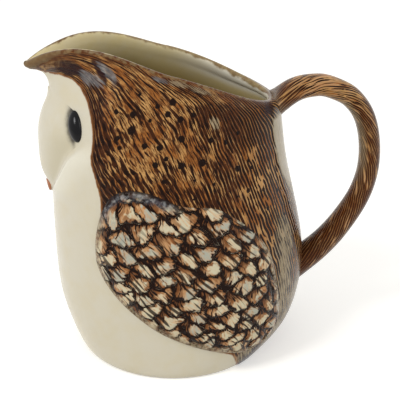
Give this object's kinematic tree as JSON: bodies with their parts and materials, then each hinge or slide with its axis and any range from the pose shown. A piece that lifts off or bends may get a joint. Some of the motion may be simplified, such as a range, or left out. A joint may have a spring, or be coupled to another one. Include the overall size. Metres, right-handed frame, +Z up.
{
  "type": "owl pitcher",
  "caption": "Glazed earthenware jug shaped as a perched owl, with the brow drawn out into the spout and a looped handle on the back.",
  "frame": {"origin": "middle of the whole jug's footprint (spout to handle and wing to wing), on the plane the foot rests on", "axes": "+Z up; the owl faces -Y and pours towards -Y, the handle is on +Y, and the owl's left side is +X"},
  "size_m": [0.1334, 0.2056, 0.1848],
  "materials": {
    "cream_glaze": "gloss",
    "handle_glaze": "gloss",
    "wing_glaze": "gloss",
    "face_glaze": "gloss",
    "beak_glaze": "gloss",
    "eye_glaze": "high gloss"
  },
  "bodies": {
    "root": {"body": "cream_glaze", "handle": "handle_glaze", "left_wing": "wing_glaze", "right_wing": "wing_glaze", "face_disc": "face_glaze", "beak": "beak_glaze", "left_eye": "eye_glaze", "right_eye": "eye_glaze"}
  },
  "joints": []
}
